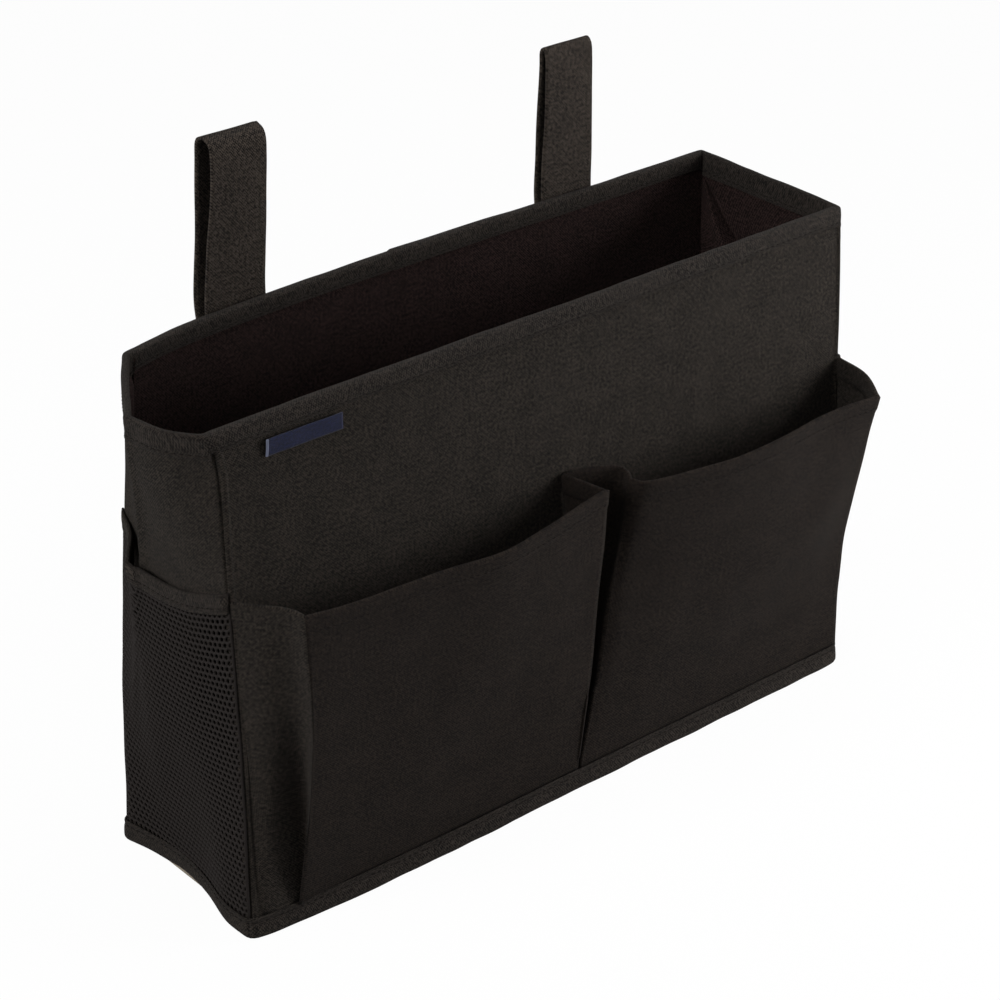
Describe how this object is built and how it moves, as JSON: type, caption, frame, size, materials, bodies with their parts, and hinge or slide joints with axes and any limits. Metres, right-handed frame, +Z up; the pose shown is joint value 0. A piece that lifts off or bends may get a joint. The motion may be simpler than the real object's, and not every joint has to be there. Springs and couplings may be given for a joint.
{
  "type": "bedside caddy",
  "caption": "A black cloth bedside caddy with strap loops on its back rim, a long open compartment, pleated front pockets and net end pockets.",
  "frame": {"origin": "the middle of the underside of the cloth box, on the surface that it stands on", "axes": "+X to the right along the front, +Y to the back where the straps are, +Z up"},
  "size_m": [0.3542, 0.1359, 0.298],
  "materials": {
    "oxford_cloth": "plain woven polyester, matt",
    "lining_cloth": "coated back of the same cloth, matt",
    "binding_tape": "ribbed polyester tape, slight sheen",
    "strap_webbing": "woven strap, matt",
    "grip_tape": "hook and loop pile",
    "net": "knitted polyester net",
    "stiffener_board": "grey board, uncoated",
    "woven_label": "woven navy label, satin, blank"
  },
  "bodies": {
    "caddy": {"back_panel": "oxford_cloth", "back_board": "stiffener_board", "back_lining": "lining_cloth", "front_panel": "oxford_cloth", "front_board": "stiffener_board", "front_lining": "lining_cloth", "left_side_panel": "oxford_cloth", "left_side_lining": "lining_cloth", "right_side_panel": "oxford_cloth", "right_side_lining": "lining_cloth", "base_panel": "oxford_cloth", "base_board": "stiffener_board", "base_lining": "lining_cloth", "rim_binding": "binding_tape", "base_binding": "binding_tape", "left_net": "net", "left_net_binding": "binding_tape", "right_net": "net", "right_net_binding": "binding_tape", "left_pocket_outer_gusset": "oxford_cloth", "left_pocket_inner_gusset": "oxford_cloth", "right_pocket_inner_gusset": "oxford_cloth", "right_pocket_outer_gusset": "oxford_cloth", "label": "woven_label", "left_strap_anchor": "strap_webbing", "left_loop_tape": "grip_tape", "right_strap_anchor": "strap_webbing", "right_loop_tape": "grip_tape"},
    "left_strap": {"left_strap": "strap_webbing"},
    "left_tongue": {"left_tongue": "strap_webbing", "left_hook_tape": "grip_tape"},
    "right_strap": {"right_strap": "strap_webbing"},
    "right_tongue": {"right_tongue": "strap_webbing", "right_hook_tape": "grip_tape"},
    "left_pocket": {"left_pocket_front": "oxford_cloth"},
    "right_pocket": {"right_pocket_front": "oxford_cloth"}
  },
  "joints": [
    {"name": "left_strap_sway", "type": "hinge", "parent": "caddy", "child": "left_strap", "pos_m": [-0.088, 0.0489, 0.23], "axis": [1, 0, 0], "range_deg": [0, 80]},
    {"name": "left_strap_peel", "type": "hinge", "parent": "left_strap", "child": "left_tongue", "pos_m": [-0.088, 0.0613, 0.2918], "axis": [1, 0, 0], "range_deg": [0, 160]},
    {"name": "right_strap_sway", "type": "hinge", "parent": "caddy", "child": "right_strap", "pos_m": [0.088, 0.0489, 0.23], "axis": [1, 0, 0], "range_deg": [0, 80]},
    {"name": "right_strap_peel", "type": "hinge", "parent": "right_strap", "child": "right_tongue", "pos_m": [0.088, 0.0613, 0.2918], "axis": [1, 0, 0], "range_deg": [0, 160]},
    {"name": "left_pocket_gape", "type": "hinge", "parent": "caddy", "child": "left_pocket", "pos_m": [-0.0719, -0.0486, 0.0098], "axis": [1, 0, 0], "range_deg": [-8, 0], "deforming": ["left_pocket_outer_gusset", "left_pocket_inner_gusset"]},
    {"name": "right_pocket_gape", "type": "hinge", "parent": "caddy", "child": "right_pocket", "pos_m": [0.0865, -0.0486, 0.0098], "axis": [1, 0, 0], "range_deg": [-8, 0], "deforming": ["right_pocket_outer_gusset", "right_pocket_inner_gusset"]}
  ]
}
